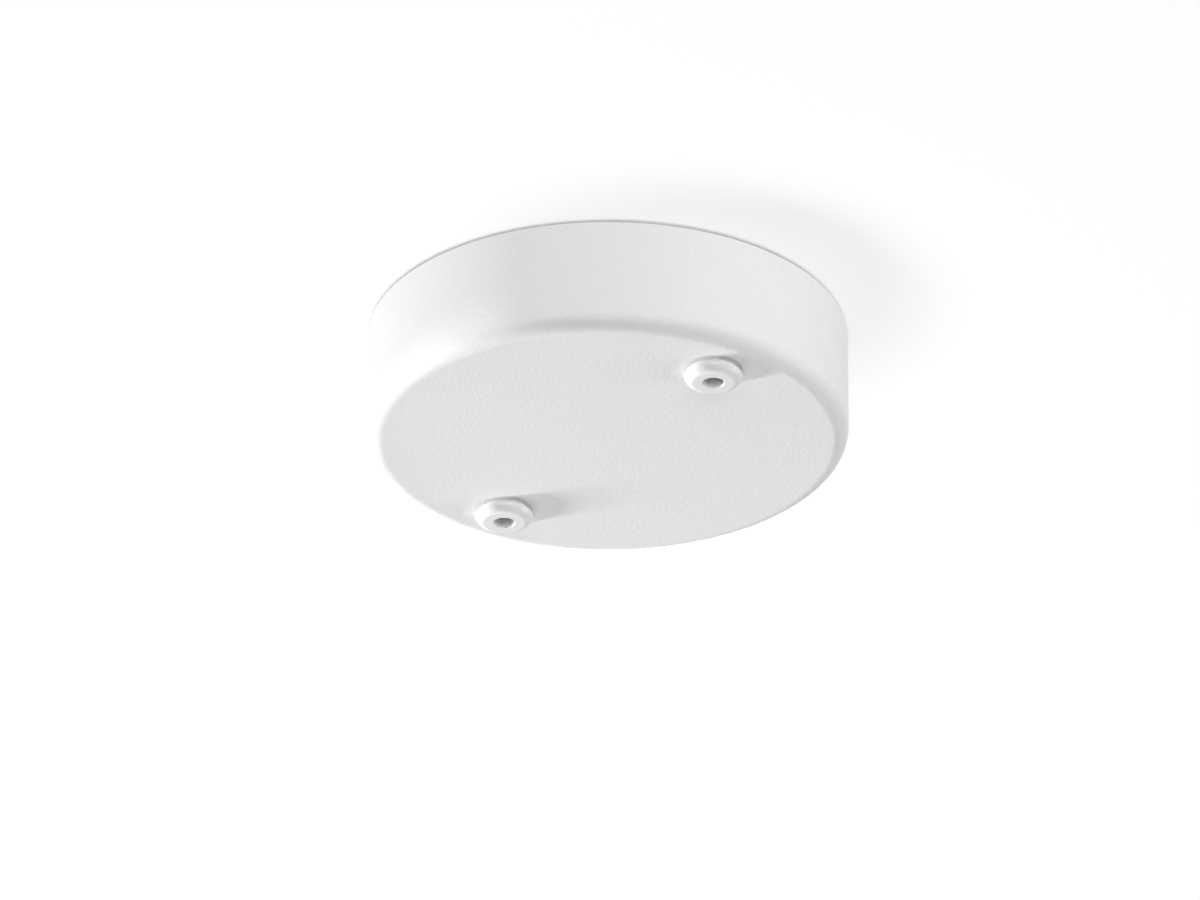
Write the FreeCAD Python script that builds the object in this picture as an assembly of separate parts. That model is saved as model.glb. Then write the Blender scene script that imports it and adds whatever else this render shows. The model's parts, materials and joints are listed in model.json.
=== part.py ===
import FreeCAD, Part
import math
import os

# A ceiling rose with two cord outlets, in millimetres.
# The ceiling is the plane z = 0 and everything hangs below it. The outlets lie on the X axis.

# Canopy: a drawn steel cup, open towards the ceiling
canopy_radius = 60.0
canopy_height = 29.3
canopy_wall = 1.0
canopy_edge_radius = 4.0
rim_rounding = 0.25
rim_gap = 0.7

# Outlet bushes, with the washer and nut that clamp them to the canopy
outlet_margin = 15.0
bush_hole_radius = 2.65
bush_hole_depth = 2.45
bush_hole_rounding = 0.25
bush_nose_radius = 5.2
bush_nose_height = 3.25
bush_flange_radius = 7.28
bush_flange_edge = 0.35
bush_flange_rounding = 0.12
bush_dome_start_deg = 12.0
bush_neck_radius = 6.0
bush_undercut_height = 0.75
bush_collar_radius = 7.0
bush_collar_height = 0.25
bush_shank_radius = 4.9
bush_shank_wall = 1.3
bush_shank_spare = 1.5
bush_shank_chamfer = 0.4
bush_hole_clearance = 0.15
outlet_washer_radius = 8.5
outlet_washer_thickness = 1.0
outlet_nut_across_flats = 14.0
outlet_nut_height = 3.0

# Mounting plate: a pressed steel dish whose rim and screw pads lie against the ceiling
plate_depth = 5.2
plate_wall = 1.2
plate_bend_radius = 2.2
plate_clearance = 0.6
plate_bead_gap = 0.9
plate_bead_half_width = 1.7
plate_bead_height = 0.8
slot_spacing = 60.0
slot_length = 14.0
slot_width = 4.5
pad_margin = 4.0
pad_slope = 2.2
pad_side_wall = 0.9
pad_rounding = 0.8
collar_wall = 1.1
collar_height = 1.2

# Rubber grommet round the supply cable
grommet_bore_radius = 6.0
grommet_neck_radius = 9.0
grommet_flange_radius = 11.0
grommet_lower_height = 2.0
grommet_rounding = 0.8
grommet_bore_chamfer = 0.4

# Magnets, each on a hexagonal stand-off
magnet_count = 3
magnet_margin = 16.0
magnet_first_deg = 90.0
magnet_gap = 0.3
magnet_radius = 6.55
magnet_height = 3.5
magnet_ring_gap = 0.15
magnet_cup_wall = 1.3
magnet_cup_base = 1.5
magnet_edge_chamfer = 0.3
magnet_stud_length = 6.0
standoff_across_flats = 7.0
standoff_hole_depth = 7.0
standoff_screw_grip = 6.0

# Terminal block
pole_names = ("live", "neutral", "earth")
pole_pitch = 11.0
block_offset_y = -27.0
block_length = 20.0
barrel_radius = 4.4
barrel_axis_height = 5.2
web_height = 3.2
tower_radius = 3.6
tower_height = 15.0
tower_spacing = 10.0
well_radius = 2.4
ear_reach = 8.6
ear_width = 9.0
ear_height = 3.2
sleeve_radius = 2.9
sleeve_bore_radius = 1.75
sleeve_length = 15.0
entry_chamfer = 0.7
terminal_screw_recess = 1.4

# Cord clamps
clamp_offset_x = 30.0
clamp_offset_y = 16.0
clamp_length = 20.0
clamp_width = 10.0
clamp_corner_radius = 2.0
clamp_base_height = 5.0
clamp_open_gap = 3.6
clamp_closed_gap = 0.4
clamp_screw_margin = 3.0
clamp_groove_radius = 3.2
clamp_groove_depth = 1.6
clamp_rib_height = 0.3
clamp_rib_width = 1.0
saddle_ear_height = 3.0
saddle_arch_height = 5.0
saddle_arch_half_width = 4.2
saddle_arch_slope = 1.0

# Earth point
earth_offset_y = 24.0
earth_plate_side = 9.0
earth_plate_thickness = 1.0
earth_plate_lip = 1.2
lock_washer_radius = 3.9
lock_washer_thickness = 0.6
lock_washer_teeth = 10
lock_washer_tooth_depth = 0.7

# Screws
small_screw_radius = 1.5
small_head_radius = 2.8
small_head_height = 2.2
large_screw_radius = 2.0
large_head_radius = 3.8
large_head_height = 2.4
terminal_head_radius = 2.2
terminal_head_height = 1.6
head_rounding_share = 0.45
drive_cross_share = 1.15
drive_width = 0.8
drive_depth = 0.9
tip_chamfer = 0.4
nut_chamfer_deg = 30.0
screw_tip_clearance = 0.3

# Clearances between parts
seat_clearance = 0.05
thread_clearance = 0.08
hole_clearance = 0.3
boolean_margin = 1.0
tolerance = 1e-6

# Heights that follow from the sizes above
rim_z = -rim_gap
face_z = rim_z - canopy_height
canopy_inside_z = face_z + canopy_wall
plate_floor_z = plate_wall - plate_depth
plate_under_z = -plate_depth
magnet_face_z = canopy_inside_z + magnet_gap
magnet_cup_height = magnet_height + magnet_cup_base
clamp_travel = clamp_open_gap - clamp_closed_gap

# Places that follow from the sizes above
outlet_offset = canopy_radius - outlet_margin
plate_radius = canopy_radius - canopy_wall - plate_clearance
magnet_circle_radius = canopy_radius - magnet_margin
pole_places = [(i - (len(pole_names) - 1) / 2) * pole_pitch for i in range(len(pole_names))]
ear_hole_x = pole_places[-1] + barrel_radius + ear_reach - ear_width / 2
clamp_screw_places = [side * (clamp_length / 2 - clamp_screw_margin) for side in (-1, 1)]
magnet_angles = [magnet_first_deg + i * 360.0 / magnet_count for i in range(magnet_count)]
sides = (("left", -1), ("right", 1))

AXIS = FreeCAD.Vector(0, 0, 1)
CENTRE = FreeCAD.Vector(0, 0, 0)


def point(x, y, z=0.0):
    return FreeCAD.Vector(x, y, z)


def bend(centre_r, centre_z, radius, first_deg, last_deg):
    """Middle and last point of a round corner in a turned profile."""
    angles = (math.radians((first_deg + last_deg) / 2), math.radians(last_deg))
    return tuple((centre_r + radius * math.cos(a), centre_z + radius * math.sin(a)) for a in angles)


def outline(start, steps, plane):
    """Closed wire from a start point and steps: a point for a line, (middle, end) for an arc."""
    edges = []
    here = start
    for step in list(steps) + [start]:
        if isinstance(step[0], tuple):
            middle, end = step
            edges.append(Part.Arc(plane(*here), plane(*middle), plane(*end)).toShape())
        else:
            end = step
            if math.dist(here, end) < tolerance:
                continue
            edges.append(Part.LineSegment(plane(*here), plane(*end)).toShape())
        here = end
    return Part.Wire(edges)


def turned(start, *steps):
    """Solid of revolution about Z; the profile is given as (radius, height)."""
    profile = outline(start, steps, lambda r, z: point(r, 0, z))
    return Part.Face(profile).revolve(CENTRE, AXIS, 360)


def extruded_along_y(start, steps, length):
    """Solid with the same section all along Y, centred on y = 0; the section is given as (x, z)."""
    section = outline(start, steps, lambda x, z: point(x, -length / 2, z))
    return Part.Face(section).extrude(point(0, length, 0))


def cylinder(radius, bottom_z, top_z, x=0.0, y=0.0):
    return Part.makeCylinder(radius, top_z - bottom_z, point(x, y, bottom_z), AXIS)


def cylinder_along_y(radius, length, z, x=0.0):
    return Part.makeCylinder(radius, length, point(x, -length / 2, z), point(0, 1, 0))


def hexagon(across_flats, bottom_z, height):
    corner_radius = across_flats / math.sqrt(3)
    angles = [math.radians(60 * i) for i in range(7)]
    corners = [point(corner_radius * math.cos(a), corner_radius * math.sin(a), bottom_z) for a in angles]
    return Part.Face(Part.makePolygon(corners)).extrude(point(0, 0, height))


def chamfered_hexagon(across_flats, bottom_z, height):
    """Hexagonal bar whose corners are turned off at both ends, as a nut's are."""
    flat_radius = across_flats / 2
    corner_radius = across_flats / math.sqrt(3)
    drop = (corner_radius - flat_radius) * math.tan(math.radians(nut_chamfer_deg))
    top_z = bottom_z + height
    envelope = turned(
        (0, bottom_z), (flat_radius, bottom_z), (corner_radius, bottom_z + drop),
        (corner_radius, top_z - drop), (flat_radius, top_z), (0, top_z))
    return hexagon(across_flats, bottom_z, height).common(envelope)


def upright_edges(shape):
    return [edge for edge in shape.Edges if abs(edge.tangentAt(edge.FirstParameter).z) > 1 - tolerance]


def stadium(length, width, z):
    """Slot-shaped wire along X, with round ends."""
    reach = (length - width) / 2
    half = width / 2
    return outline(
        (-reach, -half),
        [(reach, -half), ((reach + half, 0), (reach, half)),
         (-reach, half), ((-reach - half, 0), (-reach, -half))],
        lambda x, y: point(x, y, z))


def screw(shank_radius, shank_length, head_radius, head_height, slots=2):
    """Screw with its head below z = 0 and its shank above; one slot, or two that cross."""
    rounding = head_height * head_rounding_share
    body = turned(
        (0, -head_height), (head_radius - rounding, -head_height),
        bend(head_radius - rounding, rounding - head_height, rounding, -90, 0),
        (head_radius, 0), (shank_radius, 0), (shank_radius, shank_length - tip_chamfer),
        (shank_radius - tip_chamfer, shank_length), (0, shank_length))
    drive_length = 2 * head_radius + boolean_margin if slots == 1 else drive_cross_share * head_radius
    for turn in range(slots):
        slot = Part.makeBox(drive_length, drive_width, drive_depth,
                            point(-drive_length / 2, -drive_width / 2, -head_height))
        slot.rotate(CENTRE, AXIS, 90 * turn)
        body = body.cut(slot)
    return body


def moved(shape, x=0.0, y=0.0, z=0.0):
    copy = shape.copy()
    copy.translate(point(x, y, z))
    return copy


def upside_down(shape):
    copy = shape.copy()
    copy.rotate(CENTRE, point(1, 0, 0), 180)
    return copy


def on_circle(radius, angle_deg):
    angle = math.radians(angle_deg)
    return radius * math.cos(angle), radius * math.sin(angle)


def fused(shapes):
    return shapes[0].multiFuse(shapes[1:]).removeSplitter()


def canopy_shell():
    """Deep-drawn cup: flat face, round lower edge, straight wall and a softened open rim."""
    inside_radius = canopy_radius - canopy_wall
    bend_centre_r = canopy_radius - canopy_edge_radius
    bend_centre_z = face_z + canopy_edge_radius
    rim_centre_z = rim_z - rim_rounding
    cup = turned(
        (0, face_z), (bend_centre_r, face_z),
        bend(bend_centre_r, bend_centre_z, canopy_edge_radius, -90, 0),
        (canopy_radius, rim_centre_z),
        bend(canopy_radius - rim_rounding, rim_centre_z, rim_rounding, 0, 90),
        (inside_radius + rim_rounding, rim_z),
        bend(inside_radius + rim_rounding, rim_centre_z, rim_rounding, 90, 180),
        (inside_radius, bend_centre_z),
        bend(bend_centre_r, bend_centre_z, canopy_edge_radius - canopy_wall, 0, -90),
        (0, canopy_inside_z))
    for _, side in sides:
        hole = cylinder(bush_shank_radius + bush_hole_clearance, face_z - boolean_margin,
                        canopy_inside_z + boolean_margin, side * outlet_offset)
        cup = cup.cut(hole)
    return cup


def outlet_bush():
    """Moulded guide bush: domed nose below the canopy, hollow threaded shank above it."""
    nose_z = face_z - bush_nose_height
    flange_top_z = face_z - bush_undercut_height
    dome_end_z = flange_top_z - bush_flange_edge
    shank_top_z = canopy_inside_z + outlet_washer_thickness + outlet_nut_height + bush_shank_spare
    shank_bore_radius = bush_shank_radius - bush_shank_wall
    run = bush_flange_radius - bush_nose_radius
    fall = dome_end_z - nose_z
    chord_angle = math.atan2(fall, run)
    half_turn = chord_angle - math.radians(bush_dome_start_deg)
    dome_radius = math.hypot(run, fall) / 2 / math.sin(half_turn)
    dome_centre_r = bush_nose_radius - dome_radius * math.sin(math.radians(bush_dome_start_deg))
    dome_centre_z = nose_z + dome_radius * math.cos(math.radians(bush_dome_start_deg))
    middle_angle = chord_angle - math.pi / 2
    dome_middle = (dome_centre_r + dome_radius * math.cos(middle_angle),
                   dome_centre_z + dome_radius * math.sin(middle_angle))
    return turned(
        (bush_hole_radius, nose_z + bush_hole_rounding),
        bend(bush_hole_radius + bush_hole_rounding, nose_z + bush_hole_rounding,
             bush_hole_rounding, 180, 270),
        (bush_nose_radius, nose_z),
        (dome_middle, (bush_flange_radius, dome_end_z)),
        (bush_flange_radius, flange_top_z - bush_flange_rounding),
        bend(bush_flange_radius - bush_flange_rounding, flange_top_z - bush_flange_rounding,
             bush_flange_rounding, 0, 90),
        (bush_neck_radius, flange_top_z), (bush_neck_radius, face_z - bush_collar_height),
        (bush_collar_radius, face_z - bush_collar_height), (bush_collar_radius, face_z),
        (bush_shank_radius, face_z), (bush_shank_radius, shank_top_z - bush_shank_chamfer),
        (bush_shank_radius - bush_shank_chamfer, shank_top_z), (shank_bore_radius, shank_top_z),
        (shank_bore_radius, nose_z + bush_hole_depth), (bush_hole_radius, nose_z + bush_hole_depth))


def outlet_washer():
    inner_radius = bush_shank_radius + bush_hole_clearance
    top_z = canopy_inside_z + outlet_washer_thickness
    return turned((inner_radius, canopy_inside_z), (outlet_washer_radius, canopy_inside_z),
                  (outlet_washer_radius, top_z), (inner_radius, top_z))


def outlet_nut():
    bottom_z = canopy_inside_z + outlet_washer_thickness
    nut = chamfered_hexagon(outlet_nut_across_flats, bottom_z, outlet_nut_height)
    bore = cylinder(bush_shank_radius + seat_clearance, bottom_z - boolean_margin,
                    bottom_z + outlet_nut_height + boolean_margin)
    return nut.cut(bore)


def plate_dish():
    """Pressed dish with a turned-up rim, a stiffening bead and a hole for the grommet."""
    inner_bend = plate_bend_radius - plate_wall
    bend_r = plate_radius - plate_bend_radius
    bend_z = plate_under_z + plate_bend_radius
    hole_radius = grommet_neck_radius + seat_clearance
    bead_r = magnet_circle_radius + large_head_radius + plate_bead_gap + plate_bead_half_width
    bead_in = bead_r - plate_bead_half_width
    bead_out = bead_r + plate_bead_half_width
    return turned(
        (hole_radius, plate_under_z), (bead_in, plate_under_z),
        ((bead_r, plate_under_z + plate_bead_height), (bead_out, plate_under_z)),
        (bend_r, plate_under_z),
        bend(bend_r, bend_z, plate_bend_radius, -90, 0),
        (plate_radius, 0), (plate_radius - plate_wall, 0), (plate_radius - plate_wall, bend_z),
        bend(bend_r, bend_z, inner_bend, 0, -90),
        (bead_out, plate_floor_z),
        ((bead_r, plate_floor_z + plate_bead_height), (bead_in, plate_floor_z)),
        (hole_radius, plate_floor_z))


def screw_pad():
    """Raised pad that meets the ceiling, and the hollow that its pressing leaves below."""
    length = slot_length + 2 * pad_margin
    width = slot_width + 2 * pad_margin
    foot = stadium(length + 2 * pad_slope, width + 2 * pad_slope, plate_floor_z)
    hill = Part.makeLoft([foot, stadium(length, width, 0)], True, True)
    top_edges = [edge for edge in hill.Edges if abs(edge.BoundBox.ZMin) < tolerance]
    hill = hill.makeFillet(pad_rounding, top_edges)
    mouth_growth = 2 * (pad_slope - pad_side_wall)
    mouth = stadium(length + mouth_growth, width + mouth_growth, plate_under_z)
    roof = stadium(length - 2 * pad_side_wall, width - 2 * pad_side_wall, -plate_wall)
    hollow = Part.makeLoft([mouth, roof], True, True)
    return hill, hollow


def plate_threads():
    """Place and thread radius of each tapped hole in the plate."""
    places = []
    for _, side in sides:
        for x in clamp_screw_places:
            places.append((side * clamp_offset_x + x, clamp_offset_y, small_screw_radius))
        places.append((side * ear_hole_x, block_offset_y, small_screw_radius))
    places.append((0, earth_offset_y, large_screw_radius))
    return places


def mounting_plate():
    hill, hollow = screw_pad()
    slot = Part.Face(stadium(slot_length, slot_width, -plate_depth)).extrude(
        point(0, 0, plate_depth + boolean_margin))
    solids = [plate_dish()]
    cuts = []
    for _, side in sides:
        x = side * slot_spacing / 2
        solids.append(moved(hill, x))
        cuts += [moved(hollow, x), moved(slot, x)]
    for x, y, radius in plate_threads():
        solids.append(cylinder(radius + collar_wall, plate_floor_z, plate_floor_z + collar_height, x, y))
        cuts.append(cylinder(radius + thread_clearance, plate_under_z - boolean_margin,
                             plate_floor_z + collar_height + boolean_margin, x, y))
    for angle in magnet_angles:
        x, y = on_circle(magnet_circle_radius, angle)
        cuts.append(cylinder(large_screw_radius + hole_clearance, plate_under_z - boolean_margin,
                             plate_floor_z + boolean_margin, x, y))
    plate = fused(solids)
    for cut in cuts:
        plate = plate.cut(cut)
    return plate.removeSplitter()


def cable_entry_grommet():
    """Rubber grommet: its upper lip fills the space up to the ceiling, its groove holds the plate."""
    bottom_z = plate_under_z - grommet_lower_height
    flange_corner = grommet_flange_radius - grommet_rounding
    return turned(
        (grommet_bore_radius, bottom_z + grommet_bore_chamfer),
        (grommet_bore_radius + grommet_bore_chamfer, bottom_z), (flange_corner, bottom_z),
        bend(flange_corner, bottom_z + grommet_rounding, grommet_rounding, -90, 0),
        (grommet_flange_radius, plate_under_z), (grommet_neck_radius, plate_under_z),
        (grommet_neck_radius, plate_floor_z), (grommet_flange_radius, plate_floor_z),
        (grommet_flange_radius, -grommet_rounding),
        bend(flange_corner, -grommet_rounding, grommet_rounding, 0, 90),
        (grommet_bore_radius, 0))


def magnet_standoff():
    """Hexagonal pillar, tapped at both ends."""
    bottom_z = magnet_face_z + magnet_cup_height
    pillar = chamfered_hexagon(standoff_across_flats, bottom_z, plate_under_z - bottom_z)
    hole_radius = large_screw_radius + seat_clearance
    for low, high in ((bottom_z - boolean_margin, bottom_z + standoff_hole_depth),
                      (plate_under_z - standoff_hole_depth, plate_under_z + boolean_margin)):
        pillar = pillar.cut(cylinder(hole_radius, low, high))
    return pillar


def magnet_cup():
    """Steel pot round the magnet, with a threaded stud up into the stand-off."""
    outer_radius = magnet_radius + magnet_ring_gap + magnet_cup_wall
    inner_radius = magnet_radius + magnet_ring_gap
    roof_z = magnet_face_z + magnet_height
    top_z = magnet_face_z + magnet_cup_height
    stud_top_z = top_z + magnet_stud_length
    return turned(
        (inner_radius, magnet_face_z), (outer_radius, magnet_face_z),
        (outer_radius, top_z - magnet_edge_chamfer), (outer_radius - magnet_edge_chamfer, top_z),
        (large_screw_radius, top_z), (large_screw_radius, stud_top_z - tip_chamfer),
        (large_screw_radius - tip_chamfer, stud_top_z), (0, stud_top_z), (0, roof_z),
        (inner_radius, roof_z))


def magnet_disc():
    top_z = magnet_face_z + magnet_height
    return turned(
        (0, magnet_face_z), (magnet_radius - magnet_edge_chamfer, magnet_face_z),
        (magnet_radius, magnet_face_z + magnet_edge_chamfer), (magnet_radius, top_z), (0, top_z))


def standoff_screw():
    """Screw with its head on the plate's upper side, down into the stand-off."""
    shape = screw(large_screw_radius, plate_wall + standoff_screw_grip,
                  large_head_radius, large_head_height)
    return moved(upside_down(shape), z=plate_floor_z)


def barrel_row():
    """Section of the housing: round-topped barrels that stand on the plate, joined by webs."""
    axis_z = plate_under_z - barrel_axis_height
    web_z = plate_under_z - web_height
    start = (pole_places[0] - barrel_radius, plate_under_z)
    steps = []
    for i, x in enumerate(pole_places):
        if i:
            steps.append((x - barrel_radius, web_z))
        steps.append((x - barrel_radius, axis_z))
        steps.append(((x, axis_z - barrel_radius), (x + barrel_radius, axis_z)))
        last = i == len(pole_places) - 1
        steps.append((x + barrel_radius, plate_under_z if last else web_z))
    return extruded_along_y(start, steps, block_length)


def terminal_block_housing():
    """Moulded block: a barrel and two screw towers for each pole, and an ear at each end."""
    axis_z = plate_under_z - barrel_axis_height
    tower_z = plate_under_z - tower_height
    solids = [barrel_row()]
    cuts = []
    for x in pole_places:
        cuts.append(cylinder_along_y(sleeve_radius + seat_clearance, block_length + boolean_margin,
                                     axis_z, x))
        mouth = Part.makeCone(sleeve_radius + entry_chamfer, sleeve_radius, entry_chamfer,
                              point(x, -block_length / 2, axis_z), point(0, 1, 0))
        cuts += [mouth, mouth.mirror(CENTRE, point(0, 1, 0))]
        for side in (-1, 1):
            y = side * tower_spacing / 2
            solids.append(cylinder(tower_radius, tower_z, axis_z, x, y))
            cuts.append(cylinder(well_radius, tower_z - boolean_margin, axis_z, x, y))
    for _, side in sides:
        ear_inner = side * (pole_places[-1] + barrel_radius - collar_wall)
        ear_box = Part.makeBox(abs(ear_hole_x - abs(ear_inner)), ear_width, ear_height,
                               point(min(ear_inner, side * ear_hole_x), -ear_width / 2,
                                     plate_under_z - ear_height))
        solids.append(ear_box)
        solids.append(cylinder(ear_width / 2, plate_under_z - ear_height, plate_under_z,
                               side * ear_hole_x))
        cuts.append(cylinder(small_screw_radius + hole_clearance,
                             plate_under_z - ear_height - boolean_margin,
                             plate_under_z + boolean_margin, side * ear_hole_x))
    block = fused(solids)
    for cut in cuts:
        block = block.cut(cut)
    return moved(block, y=block_offset_y)


def terminal_sleeve(x):
    """Brass tube of one pole, tapped under each tower."""
    axis_z = plate_under_z - barrel_axis_height
    sleeve = cylinder_along_y(sleeve_radius, sleeve_length, axis_z, x)
    sleeve = sleeve.cut(cylinder_along_y(sleeve_bore_radius, sleeve_length + boolean_margin, axis_z, x))
    for side in (-1, 1):
        sleeve = sleeve.cut(cylinder(small_screw_radius + seat_clearance,
                                     axis_z - sleeve_radius - boolean_margin, axis_z,
                                     x, side * tower_spacing / 2))
    return moved(sleeve, y=block_offset_y)


def terminal_screw():
    """Slotted screw, backed out until its tip is clear of the wire hole."""
    tip_z = plate_under_z - barrel_axis_height - sleeve_bore_radius - screw_tip_clearance
    head_z = plate_under_z - tower_height + terminal_screw_recess + terminal_head_height
    return moved(screw(small_screw_radius, tip_z - head_z, terminal_head_radius,
                       terminal_head_height, slots=1), z=head_z)


def terminal_screws():
    places = [(x, block_offset_y + side * tower_spacing / 2) for x in pole_places for side in (-1, 1)]
    return Part.makeCompound([moved(terminal_screw(), x, y) for x, y in places])


def screw_through(under_z, radius, head_radius, head_height, ceiling_gap):
    """Screw from below, with its head against under_z and its tip ceiling_gap short of the ceiling."""
    return moved(screw(radius, -ceiling_gap - under_z, head_radius, head_height), z=under_z)


def block_screws():
    under_z = plate_under_z - ear_height
    tip_gap = -plate_floor_z - collar_height - screw_tip_clearance
    shape = screw_through(under_z, small_screw_radius, small_head_radius, small_head_height, tip_gap)
    return Part.makeCompound([moved(shape, side * ear_hole_x, block_offset_y) for _, side in sides])


def clamp_groove(jaw_z, outward):
    """Round groove for the cord, deeper between its grip ribs; outward is the way the jaw faces."""
    axis_z = jaw_z + outward * (clamp_groove_radius - clamp_groove_depth)
    groove = cylinder_along_y(clamp_groove_radius - clamp_rib_height, clamp_width + boolean_margin, axis_z)
    bay = (clamp_width - 2 * clamp_rib_width) / 3
    bays = [moved(cylinder_along_y(clamp_groove_radius, bay, axis_z), y=i * (bay + clamp_rib_width))
            for i in (-1, 0, 1)]
    return fused([groove] + bays)


def clamp_block(height, top_z):
    block = Part.makeBox(clamp_length, clamp_width, height,
                         point(-clamp_length / 2, -clamp_width / 2, top_z - height))
    return block.makeFillet(clamp_corner_radius, upright_edges(block))


def clamp_base():
    """Lower jaw, seated on the plate, with a ribbed groove for the cord."""
    face = plate_under_z - clamp_base_height
    base = clamp_block(clamp_base_height, plate_under_z).cut(clamp_groove(face, -1))
    for x in clamp_screw_places:
        base = base.cut(cylinder(small_screw_radius + hole_clearance, face - boolean_margin,
                                 plate_under_z + boolean_margin, x))
    return base


def clamp_saddle():
    """Moving jaw: two ears under the screw heads and an arch over the cord."""
    face = plate_under_z - clamp_base_height - clamp_open_gap
    ear_z = face - saddle_ear_height
    arch_z = face - saddle_arch_height
    half = clamp_length / 2
    foot = saddle_arch_half_width
    crest = foot - saddle_arch_slope
    section = extruded_along_y(
        (-half, face),
        [(-half, ear_z), (-foot, ear_z), (-crest, arch_z), (crest, arch_z), (foot, ear_z),
         (half, ear_z), (half, face)], clamp_width)
    corners = clamp_block(saddle_arch_height, face)
    saddle = section.common(corners).cut(clamp_groove(face, 1))
    for x in clamp_screw_places:
        saddle = saddle.cut(cylinder(small_screw_radius + hole_clearance / 2, arch_z,
                                     face + boolean_margin, x))
    return saddle


def clamp_screws():
    under_z = plate_under_z - clamp_base_height - clamp_open_gap - saddle_ear_height
    shape = screw_through(under_z, small_screw_radius, small_head_radius, small_head_height,
                          clamp_travel + screw_tip_clearance)
    return Part.makeCompound([moved(shape, x) for x in clamp_screw_places])


def earth_clamp_plate():
    """Square clamping plate with two lips that keep the wire under it."""
    half = earth_plate_side / 2
    bottom_z = plate_under_z - earth_plate_thickness - earth_plate_lip
    inner = half - earth_plate_thickness
    top_z = bottom_z + earth_plate_thickness
    plate = extruded_along_y(
        (-half, bottom_z),
        [(half, bottom_z), (half, plate_under_z), (inner, plate_under_z), (inner, top_z),
         (-inner, top_z), (-inner, plate_under_z), (-half, plate_under_z)], earth_plate_side)
    return plate.cut(cylinder(large_screw_radius + hole_clearance, bottom_z - boolean_margin,
                              top_z + boolean_margin))


def earth_lock_washer():
    """Flat ring with teeth cut into its rim."""
    top_z = plate_under_z - earth_plate_thickness - earth_plate_lip
    bottom_z = top_z - lock_washer_thickness
    ring = cylinder(lock_washer_radius, bottom_z, top_z)
    notch_width = math.pi * lock_washer_radius / lock_washer_teeth
    for i in range(lock_washer_teeth):
        notch_r = lock_washer_radius - lock_washer_tooth_depth
        notch = Part.makeBox(lock_washer_tooth_depth * 2, notch_width, lock_washer_thickness,
                             point(notch_r, -notch_width / 2, bottom_z))
        notch.rotate(CENTRE, AXIS, i * 360.0 / lock_washer_teeth)
        ring = ring.cut(notch)
    return ring.cut(cylinder(large_screw_radius + hole_clearance / 2, bottom_z - boolean_margin,
                             top_z + boolean_margin))


def earth_screw():
    under_z = plate_under_z - earth_plate_thickness - earth_plate_lip - lock_washer_thickness
    tip_gap = -plate_floor_z - collar_height - screw_tip_clearance
    return screw_through(under_z, large_screw_radius, large_head_radius, large_head_height, tip_gap)


def all_parts():
    parts = {
        "canopy_shell": canopy_shell(),
        "mounting_plate": mounting_plate(),
        "cable_entry_grommet": cable_entry_grommet(),
        "terminal_block_housing": terminal_block_housing(),
        "terminal_screws": terminal_screws(),
        "terminal_block_screws": block_screws(),
        "earth_clamp_plate": moved(earth_clamp_plate(), y=earth_offset_y),
        "earth_lock_washer": moved(earth_lock_washer(), y=earth_offset_y),
        "earth_screw": moved(earth_screw(), y=earth_offset_y),
    }
    for name, x in zip(pole_names, pole_places):
        parts["terminal_sleeve_" + name] = terminal_sleeve(x)
    for name, side in sides:
        x = side * outlet_offset
        parts["outlet_bush_" + name] = moved(outlet_bush(), x)
        parts["outlet_washer_" + name] = moved(outlet_washer(), x)
        parts["outlet_nut_" + name] = moved(outlet_nut(), x)
        clamp_place = (side * clamp_offset_x, clamp_offset_y)
        parts["cord_clamp_base_" + name] = moved(clamp_base(), *clamp_place)
        parts["cord_clamp_saddle_" + name] = moved(clamp_saddle(), *clamp_place)
        parts["cord_clamp_screws_" + name] = moved(clamp_screws(), *clamp_place)
    standoff_screws = []
    for i, angle in enumerate(magnet_angles, start=1):
        place = on_circle(magnet_circle_radius, angle)
        parts[f"magnet_standoff_{i}"] = moved(magnet_standoff(), *place)
        parts[f"magnet_cup_{i}"] = moved(magnet_cup(), *place)
        parts[f"magnet_disc_{i}"] = moved(magnet_disc(), *place)
        standoff_screws.append(moved(standoff_screw(), *place))
    parts["magnet_standoff_screws"] = Part.makeCompound(standoff_screws)
    return parts


os.makedirs("parts", exist_ok=True)
for part_name, part_shape in all_parts().items():
    part_shape.exportStep(f"parts/{part_name}.step")
    print(part_name, len(part_shape.Solids), part_shape.isValid(), round(part_shape.Volume, 1))
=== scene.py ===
# %% [markdown]
# A ceiling rose is the round cover where the cords of a pendant lamp leave the ceiling.
# This lesson dresses an engineering model of one with two cord outlets: it sets up the camera,
# the ceiling and the lights, then gives every piece its finish. The white canopy and the two
# outlet bushes are what a person in the room sees. The steel plate, the terminals and the cord
# clamps behind them come into view when the canopy is pulled down.
# The engineering model gives every size and place, so it is loaded first.

# %% Load the model
import json
import math

import bmesh
import bpy
from mathutils import Matrix, Vector


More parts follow.
